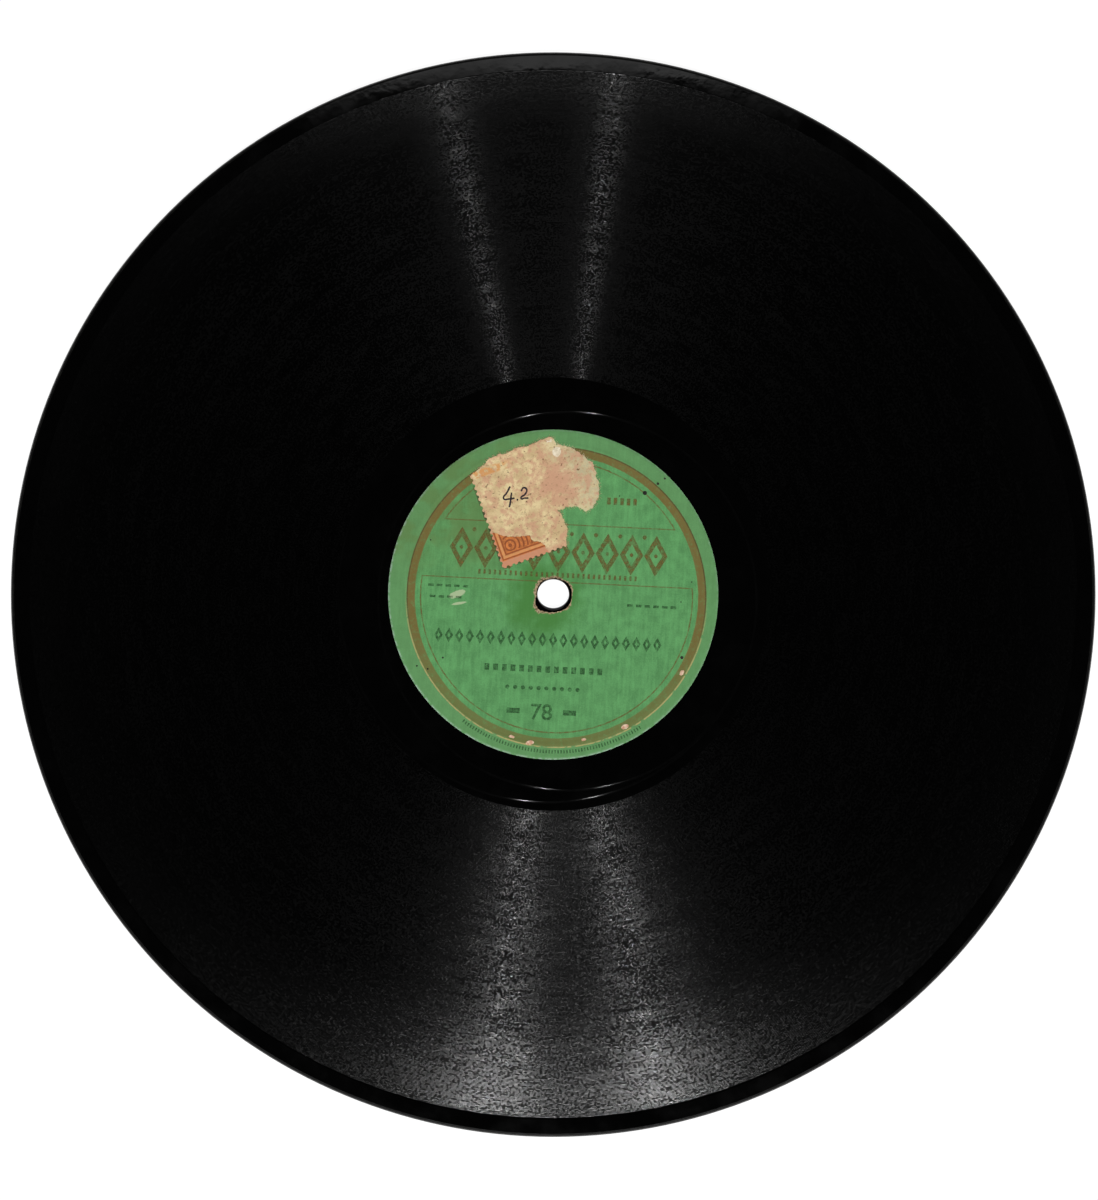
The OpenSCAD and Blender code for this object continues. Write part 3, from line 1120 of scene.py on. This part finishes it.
class RECORD_OT_grooves(bpy.types.Operator):
    """Build the recorded band of each face as one spiral groove"""

    bl_idname = "record.grooves"
    bl_label = "Grooves"

    def execute(self, context):
        disc = context.scene.record.disc
        sizes = disc_profile(disc, context.scene.record.label)
        smooth = material_of("smooth_groove", paint_groove, disc, False)
        worn = material_of("worn_groove", paint_groove, disc, True)
        for side, front in SIDES:
            name = side + "_recorded_band"
            mesh = grown_mesh(
                name, spiral_band, bpy.data.meshes.new(name + "_base"), smooth, first_radius=sizes.first,
                turns=sizes.turns - 1, pitch=disc.pitch, depth=disc.depth, steps=disc.steps, top=HALF,
                floor=HALF - disc.depth * 1.5,
            )
            if not mesh.polygons:
                raise RuntimeError("the spiral tree gave no faces")
            bm = bmesh.new()
            bm.from_mesh(mesh)
            soften(bm, math.radians(60))
            outward = bm.verts.layers.float["outward"]
            for face in bm.faces:
                share = sum(vert[outward] for vert in face.verts) / len(face.verts)
                face.material_index = int(share > 0.5)
            bm.to_mesh(mesh)
            bm.free()
            mesh.materials.append(worn)
            finish_piece(name, mesh, side_place(front))
        return {"FINISHED"}


def wave(angle, reach, level):
    """Noise round the axis, finer for a longer reach"""
    return noise.noise(Vector((math.cos(angle) * reach, math.sin(angle) * reach, level)))


def worn_hole(angle, front):
    """Radius of the worn hole of a label, which is turned on the back"""
    count = len(HOLE_RADII)
    place = (angle / TAU * count + (0 if front else 7)) % count
    low = int(place)
    share = eased(place - low)
    smooth = HOLE_RADII[low % count] * (1 - share) + HOLE_RADII[(low + 1) % count] * share
    return (smooth + 0.16 * wave(angle, 3, 1.3) + 0.1 * wave(angle, 14, 5.1)) * MM


def cockle(radius, angle):
    """Height of the paper's faint waves"""
    spot = Vector((math.cos(angle), math.sin(angle), 0)) * radius / MM
    return 0.008 * MM * noise.noise(spot * 0.16)


class RECORD_OT_labels(bpy.types.Operator):
    """Build both paper labels with their pressed ring and worn hole"""

    bl_idname = "record.labels"
    bl_label = "Labels"

    def execute(self, context):
        label, stamp = context.scene.record.label, context.scene.record.stamp
        top = label_top(label)
        inner = 8 * MM
        outer = 31 * MM
        edge = label.radius
        radii = [edge, edge - 0.05 * MM, edge - 0.8 * MM] + ridge_radii(label)
        radii += [inner + (outer - inner) * i / 8 for i in range(8, -1, -1)]

        def surface(radius):
            drop = 0.03 * MM if radius == edge else 0
            return radius, lambda angle: top + ridge_height(label, radius) + cockle(radius, angle) - drop

        def hole_ring(share, front):
            def radius(angle):
                hole = worn_hole(angle, front)
                return hole + (inner - hole) * share

            def height(angle):
                curl = 0.05 * MM * (1 - share) ** 6 * (0.5 + wave(angle, 2, 0))
                return top + cockle(inner, angle) + curl
            return radius, height

        for side, front in SIDES:
            node = side + "_label"
            name = node + "_sheet"
            rings = [surface(radius) for radius in radii]
            rings += [hole_ring(share, front) for share in (0.6, 0.35, 0.22, 0.14, 0.07, 0.0)]
            rings += [(partial(worn_hole, front=front), SEAT), (inner, SEAT)]
            rings += [*reversed(ridge_rings(label)), (edge, SEAT)]
            mesh = loft_rings(name, rings, LABEL_STEPS)
            shares = []
            for vertex in mesh.vertices:
                angle = math.atan2(vertex.co.y, vertex.co.x)
                width = max(0.2, 0.7 + 0.3 * math.cos(angle - 2.5) + 0.9 * wave(angle, 2.2, 9.0)) * MM
                gap = vertex.co.xy.length - worn_hole(angle % TAU, front)
                shares.append(1 - min(1.0, gap / width))
            mesh.attributes.new("frayed", "FLOAT", "POINT").data.foreach_set("value", shares)
            paper = material_of(node + "_paper", paint_label, label, stamp, front)
            finish_piece(name, mesh, side_place(front), [paper], (node,))
        return {"FINISHED"}


def prism(name, rings):
    """A thin flat mark between an outer outline and, if given, an inner one with as many points, in mm"""
    bm = bmesh.new()
    low, high = [
        [[bm.verts.new((x * MM, y * MM, z)) for x, y in ring] for ring in rings] for z in (0, MARK_HEIGHT)
    ]
    for lower, upper in zip(low, high):
        skin(bm, lower, upper)
    for level in (low, high):
        if len(rings) == 1:
            bm.faces.new(level[0])
        else:
            skin(bm, *level)
    return mesh_from(name, bm, math.radians(20))


def lozenge(width, height, line):
    """Outline of a lozenge, drawn with a line of a width"""
    outer = [(width / 2, 0), (0, height / 2), (-width / 2, 0), (0, -height / 2)]
    share = 1 - line * math.hypot(width, height) / (width * height) * 2
    return prism("lozenge", [outer, [(x * share, y * share) for x, y in outer]])


def bar(width, height):
    """A small bar"""
    w, h = width / 2, height / 2
    return prism("bar", [[(w, h), (-w, h), (-w, -h), (w, -h)]])


def bead(radius):
    """A small round dot"""
    angles = [TAU * i / 8 for i in range(8)]
    return prism("bead", [[(radius * math.cos(angle), radius * math.sin(angle)) for angle in angles]])


def print_row(lift, material, motif, middle, level, count, step):
    """Mesh of one row of a motif, centred at a place in the print's frame, in mm"""
    start = (middle - step * (count - 1) / 2) * MM
    return grown_mesh(
        "row", motif_row, motif, material, count=count, start=(start, level * MM, lift),
        step=(step * MM, 0.0, 0.0),
    )


def figures(lift, material, text, height, middle, level):
    """Mesh of plain figures, centred at a place in the print's frame, in mm"""
    curve = bpy.data.curves.new("figures", "FONT")
    curve.body = text
    curve.size = height * MM / FIGURE_SHARE
    curve.align_x = "CENTER"
    curve.extrude = MARK_HEIGHT / 2
    curve.offset = 0.06 * MM
    mesh = curve_mesh(curve)
    mesh.materials.clear()
    mesh.materials.append(material)
    mesh.transform(Matrix.Translation((middle * MM, level * MM, lift + MARK_HEIGHT / 2)))
    return mesh


class RECORD_OT_print(bpy.types.Operator):
    """Build the printed marks of both labels: rows of plain ornaments and a number"""

    bl_idname = "record.print"
    bl_label = "Label print"

    def execute(self, context):
        label = context.scene.record.label
        brown = material_of("brown_ink", paint_ink, label.brown, 0.8)
        green = material_of("green_ink", paint_ink, label.green, 0.75)
        lift = label_top(label) - MARK_SINK
        turned = Matrix.Translation((*label.print_shift, 0)) @ Matrix.Rotation(label.print_turn, 4, "Z")
        brown_row = partial(print_row, lift, brown)
        green_row = partial(print_row, lift, green)
        for side, front in SIDES:
            brown_marks = [
                brown_row(lozenge(5.4, 9.4, 1.05), 0.0, 10.4, 9, 5.6),
                brown_row(bead(0.45), 0.0, 10.4, 9, 5.6),
                brown_row(bead(0.5), 0.0, 14.6, 8, 5.6),
                brown_row(bar(0.5, 1.1), 0.0, 5.0, 31, 1.2),
                brown_row(bar(0.8, 1.6), 14.0, 22.6, 5, 1.5),
            ]
            green_marks = [
                green_row(bar(1.3, 0.55), -25.0, 1.4, 5, 2.0),
                green_row(bar(1.3, 0.55), -25.5, -1.2, 4, 2.0),
                green_row(bar(1.3, 0.6), 22.0, -1.2, 6, 2.0),
                green_row(lozenge(1.9, 3.4, 0.52), -1.5, -10.0, 22, 2.4),
                green_row(bar(1.1, 1.5), -2.2, -16.8, 14, 2.0),
                green_row(bead(0.5), -2.2, -21.2, 10, 1.8),
                green_row(bar(3.0, 1.2), -2.2, -26.6, 2, 13.0),
                figures(lift, green, "78", 3.6, -2.2, -28.4),
                grown_mesh(
                    "arc", motif_arc, bar(0.8, 0.3), green, count=64, radius=35.7 * MM,
                    first_angle=math.radians(236), step_angle=math.radians(1.1), lift=lift,
                ),
            ]
            for ink, meshes, material in (("brown", brown_marks, brown), ("green", green_marks, green)):
                name = f"{side}_{ink}_print"
                mesh = joined_mesh(name, meshes)
                finish_piece(name, mesh, side_place(front) @ turned, [material])
        return {"FINISHED"}


def points_mesh(name, points, sizes, turns):
    """Loose points that carry a size and a heading"""
    mesh = bpy.data.meshes.new(name)
    mesh.from_pydata(points, [], [])
    for key, values in (("size", sizes), ("facing", turns)):
        attribute = mesh.attributes.new(key, "FLOAT_VECTOR", "POINT")
        attribute.data.foreach_set("vector", [part for value in values for part in value])
    return mesh


class RECORD_OT_wear(bpy.types.Operator):
    """Build the dark specks and the chips on the front label"""

    bl_idname = "record.wear"
    bl_label = "Label wear"

    def execute(self, context):
        label = context.scene.record.label
        sink = 0.01 * MM
        speck = material_of(
            "speck", paint_mottled, (0.004, 0.004, 0.003), (0.03, 0.028, 0.02), 2.0, 0.5, 0.02
        )
        chip = material_of("chip", paint_mottled, (0.5, 0.23, 0.14), (0.75, 0.6, 0.44), 1.6, 0.9, 0.04)
        specks = [(x, y, radius, radius, 0) for x, y, radius in SPECKS]
        for name, spots, rough, material in (
            ("label_specks", specks, 0.1 * MM, speck), ("label_chips", CHIPS, 0.5 * MM, chip),
        ):
            points, sizes, turns = [], [], []
            for x, y, half_length, half_width, turn in spots:
                height = label_top(label) + ridge_height(label, math.hypot(x, y) * MM) - sink
                points.append((x * MM, y * MM, height))
                sizes.append((half_length * MM, half_width * MM, 1.0))
                turns.append((0, 0, math.radians(turn)))
            base = points_mesh(name, points, sizes, turns)
            mesh = grown_mesh(name, marks, base, material, sides=14, thickness=0.035 * MM, rough=rough)
            finish_piece(name, mesh, side_place(True))
        return {"FINISHED"}


def torn_outline(stamp, shares, seed):
    """Outline of a piece of the stamp in metres, with perforated and torn edges; marks the torn points"""
    spacing = 0.12 * MM
    fade_steps = 4
    corners = [Vector((x * stamp.width, y * stamp.height)) for x, y in shares]
    points = []
    for start, end in zip(corners, corners[1:] + corners[:1]):
        lower = start.y == 0 and end.y == 0
        left = start.x == 0 and end.x == 0
        run = end - start
        side = Vector((run.y, -run.x)).normalized()
        count = max(2, round(run.length / spacing))
        for i in range(count):
            spot = start + run * i / count
            if lower or left:
                along = spot.x if lower else spot.y
                if along < stamp.perf_radius * 0.7:
                    continue
                gap = abs((along + stamp.perf_pitch / 2) % stamp.perf_pitch - stamp.perf_pitch / 2)
                scallop = math.sqrt(max(0.0, stamp.perf_radius ** 2 - gap * gap))
                fuzz = 0.03 * MM * noise.noise(Vector((spot.x, spot.y, seed)) / (0.2 * MM))
                fade = min(1.0, (count - i if lower else i) / fade_steps)
                points.append((spot - side * (scallop * fade + fuzz), False))
            else:
                place = Vector((spot.x, spot.y, seed * MM))
                torn = noise.noise(place / (2.2 * MM)) + 0.5 * noise.noise(place / (0.7 * MM))
                torn += 0.35 * noise.noise(place / (0.25 * MM))
                fade = min(1.0, i / fade_steps, (count - i) / fade_steps)
                points.append((spot + side * torn * stamp.tear * fade, True))
    return points


def sheet_from(name, points, spacing, thickness, height_at):
    """A closed sheet of a thickness inside an outline, whose underside follows a height"""
    outline = [point for point, _ in points]
    low = Vector((min(p.x for p in outline), min(p.y for p in outline)))
    high = Vector((max(p.x for p in outline), max(p.y for p in outline)))
    inside = []
    for i in range(1, int((high.x - low.x) / spacing)):
        for j in range(1, int((high.y - low.y) / spacing)):
            inside.append(low + Vector((i + 0.5 * (j % 2), j)) * spacing)
    verts, _, faces, _, _, _ = geometry.delaunay_2d_cdt(
        outline + inside, [], [list(range(len(outline)))], 1, 0.00000001
    )
    bm = bmesh.new()
    under = [bm.verts.new((p.x, p.y, height_at(p))) for p in verts]
    over = [bm.verts.new((p.x, p.y, height_at(p) + thickness)) for p in verts]
    for face in faces:
        bm.faces.new([under[i] for i in reversed(face)])
        bm.faces.new([over[i] for i in face])
    above = dict(zip(under, over))
    for edge in [edge for edge in bm.edges if len(edge.link_faces) == 1]:
        first, second = edge.verts
        if first in above and second in above:
            bm.faces.new((first, second, above[second], above[first]))
    bmesh.ops.delete(bm, geom=[vert for vert in bm.verts if not vert.link_faces], context="VERTS")
    return mesh_from(name, bm)


def pen_strokes(height):
    """Flat ribbons of the handwritten number"""
    flatness = 0.06
    curve = bpy.data.curves.new("pen", "CURVE")
    curve.dimensions = "3D"
    curve.bevel_depth = 0.2 * MM
    curve.bevel_resolution = 1
    curve.use_fill_caps = True
    for stroke in FIGURE_STROKES:
        spline = curve.splines.new("BEZIER")
        spline.bezier_points.add(len(stroke) - 1)
        spline.resolution_u = 6
        for point, (x, y) in zip(spline.bezier_points, stroke):
            point.co = ((x + FIGURE_CORNER[0]) * MM, (y + FIGURE_CORNER[1]) * MM, 0)
            point.handle_left_type = "AUTO"
            point.handle_right_type = "AUTO"
    mesh = curve_mesh(curve)
    mesh.transform(Matrix.Translation((0, 0, height)) @ Matrix.Diagonal((1, 1, flatness, 1)))
    return mesh


class RECORD_OT_stamp(bpy.types.Operator):
    """Build the torn stamp: backing, printed corner, flakes, loose fibres and a handwritten number"""

    bl_idname = "record.stamp"
    bl_label = "Stamp"

    def execute(self, context):
        label, stamp = context.scene.record.label, context.scene.record.stamp
        place = stamp_place(stamp)
        lift = side_place(True) @ place

        def ground(extra):
            def height_at(point):
                spot = place @ Vector((point.x, point.y, 0))
                return label_top(label) + ridge_height(label, spot.xy.length) + extra
            return height_at

        spacing = 0.6 * MM
        paper = material_of("torn_paper", paint_stamp, stamp)
        outline = torn_outline(stamp, STAMP_OUTLINE, 3.7)
        mesh = sheet_from("stamp_sheet", outline, spacing, stamp.thickness, ground(0.0))
        finish_piece("stamp_sheet", mesh, lift, [paper], ("stamp_backing",))

        orange = material_of("orange_print", paint_print, stamp)
        printed = torn_outline(stamp, PRINT_OUTLINE, 9.2)
        mesh = sheet_from("stamp_corner", printed, spacing, stamp.layer, ground(stamp.thickness))
        finish_piece("stamp_corner", mesh, lift, [orange], ("stamp_print",))

        flake = material_of("flake", paint_mottled, (0.6, 0.5, 0.34), (0.82, 0.74, 0.58), 2.0, 0.9, 0.05)
        crumbs = []
        for shares in FLAKE_OUTLINES:
            crumb = torn_outline(stamp, shares, 5.5)
            crumbs.append(sheet_from("crumb", crumb, 0.4 * MM, stamp.layer, ground(stamp.thickness)))
        mesh = joined_mesh("stamp_crumbs", crumbs)
        finish_piece("stamp_crumbs", mesh, lift, [flake], ("stamp_flakes",))

        torn = [index for index, (_, ragged) in enumerate(outline) if ragged]
        points, turns = [], []
        for index in torn[::2]:
            spot = outline[index][0]
            ahead = outline[(index + 3) % len(outline)][0] - outline[index - 3][0]
            points.append((spot.x, spot.y, ground(stamp.thickness * 0.5)(spot)))
            turns.append((0, 0, math.atan2(-ahead.x, ahead.y)))
        base = points_mesh("fibres", points, [(1, 1, 1)] * len(points), turns)
        mesh = grown_mesh("stamp_fibres", torn_fibres, base, paper, length=0.55 * MM, width=0.5 * MM, seed=11)
        finish_piece("stamp_fibres", mesh, lift)

        ink = material_of("pen_ink", paint_mottled, (0.01, 0.008, 0.012), (0.05, 0.035, 0.04), 1.2, 0.6, 0.01)
        mesh = pen_strokes(label_top(label) + stamp.thickness)
        finish_piece("stamp_figures", mesh, side_place(True), [ink])
        return {"FINISHED"}


class RECORD_OT_plies(bpy.types.Operator):
    """Paint the paper plies, whose solids are shown as they are"""

    bl_idname = "record.plies"
    bl_label = "Paper plies"

    def execute(self, context):
        for name in ("front_paper", "back_paper"):
            node = frame["nodes"][name]
            node.data.materials.clear()
            node.data.materials.append(material_of("soaked_paper", paint_ply))
        return {"FINISHED"}


class RECORD_OT_stage(bpy.types.Operator):
    """Build the floor, the light and the camera"""

    bl_idname = "record.stage"
    bl_label = "Stage"

    def execute(self, context):
        scene = context.scene
        stage = scene.record.stage
        self.add_floor(stage)
        self.add_world(scene)
        rise, flat = math.sin(stage.sun_height), math.cos(stage.sun_height)
        energy = math.pi / 2 / rise
        for name, degrees in (("right_sun", 12.3), ("left_sun", -6.7)):
            azimuth = math.radians(degrees)
            towards = Vector((math.sin(azimuth) * flat, -math.cos(azimuth) * flat, rise))
            self.add_light(name, "SUN", towards, towards, energy).angle = math.radians(1.0)
        card_place = Vector((-0.008, 0.5, 1.15))
        card = self.add_light("top_card", "AREA", card_place, card_place - Vector((0, 0.12, 0)), 0.28)
        card.shape = "ELLIPSE"
        card.size = 0.58
        card.size_y = 0.24
        camera = bpy.data.objects.new("camera", bpy.data.cameras.new("camera"))
        camera.data.lens = stage.lens
        camera.data.sensor_width = 36.0
        camera.data.clip_start = 0.01
        distance = stage.view_height * stage.lens / camera.data.sensor_width
        camera.location = (-0.97 * MM, -1.24 * MM, FACE_HIGH.z + distance)
        scene.collection.objects.link(camera)
        scene.camera = camera
        scene.view_settings.view_transform = "Standard"
        scene.view_settings.look = "None"
        return {"FINISHED"}

    def add_light(self, name, kind, place, towards, energy):
        """A lamp at a place, shining against a direction"""
        lamp = bpy.data.lights.new(name, kind)
        lamp.energy = energy
        holder = bpy.data.objects.new(name, lamp)
        holder.location = place
        holder.rotation_mode = "QUATERNION"
        holder.rotation_quaternion = (-towards).to_track_quat("-Z", "Y")
        bpy.context.scene.collection.objects.link(holder)
        return lamp

    def add_floor(self, stage):
        """A wide floor just below the disc"""
        bm = bmesh.new()
        bmesh.ops.create_grid(bm, x_segments=1, y_segments=1, size=6.0)
        mesh = bpy.data.meshes.new("floor")
        bm.to_mesh(mesh)
        bm.free()
        mesh.transform(Matrix.Translation((0, 0, -0.05 * MM)))
        mesh.materials.append(material_of("floor", paint_floor, stage))
        floor = bpy.data.objects.new("floor", mesh)
        bpy.context.scene.collection.objects.link(floor)

    def add_world(self, scene):
        """Pale behind the floor, almost dark as a light, with a glow near the horizon for glossy surfaces"""
        world = bpy.data.worlds.new("studio")
        world.use_nodes = True
        tree = world.node_tree
        tree.nodes.clear()
        camera_ray, glossy_ray = wired(tree, "ShaderNodeLightPath", keys=("Is Camera Ray", "Is Glossy Ray"))
        direction = wired(tree, "ShaderNodeTexCoord", keys="Generated")
        glow = ramp(parts_of(direction)[2], 0.55, 0.1) * glossy_ray
        strength = glow * 1.2 + ramp(camera_ray, 0.0, 1.0, 0.006, 0.97)
        inputs = {"Color": (1.0, 1.0, 1.0, 1.0), "Strength": strength}
        background = wired(tree, "ShaderNodeBackground", inputs)
        add_node(tree, "ShaderNodeOutputWorld", {"Surface": background})
        scene.world = world


class RECORD_PT_builder(bpy.types.Panel):
    """Sidebar panel with the record's settings and its steps"""

    bl_label = "Shellac record"
    bl_idname = "RECORD_PT_builder"
    bl_space_type = "VIEW_3D"
    bl_region_type = "UI"
    bl_category = "Record"

    def draw(self, context):
        settings = context.scene.record
        for part in ("disc", "label", "stamp", "stage"):
            group = getattr(settings, part)
            box = self.layout.box()
            for name in group.__annotations__:
                box.prop(group, name)
        for operator in STEPS:
            self.layout.operator(operator.bl_idname)


STEPS = (
    RECORD_OT_core, RECORD_OT_faces, RECORD_OT_grooves, RECORD_OT_labels, RECORD_OT_print, RECORD_OT_wear,
    RECORD_OT_stamp, RECORD_OT_plies, RECORD_OT_stage,
)
CLASSES = (
    DiscSettings, LabelSettings, StampSettings, StageSettings, RecordSettings, *STEPS, RECORD_PT_builder,
)


def register():
    """Registers the classes and the scene's settings"""
    for cls in CLASSES:
        bpy.utils.register_class(cls)
    bpy.types.Scene.record = PointerProperty(type=RecordSettings)


def unregister():
    """Takes the settings and the classes away again"""
    del bpy.types.Scene.record
    for cls in reversed(CLASSES):
        bpy.utils.unregister_class(cls)


def main():
    """Builds every piece in order"""
    register()
    bpy.ops.record.core()
    bpy.ops.record.faces()
    bpy.ops.record.grooves()
    bpy.ops.record.labels()
    bpy.ops.record.print()
    bpy.ops.record.wear()
    bpy.ops.record.stamp()
    bpy.ops.record.plies()
    bpy.ops.record.stage()


if __name__ == "__main__":
    main()
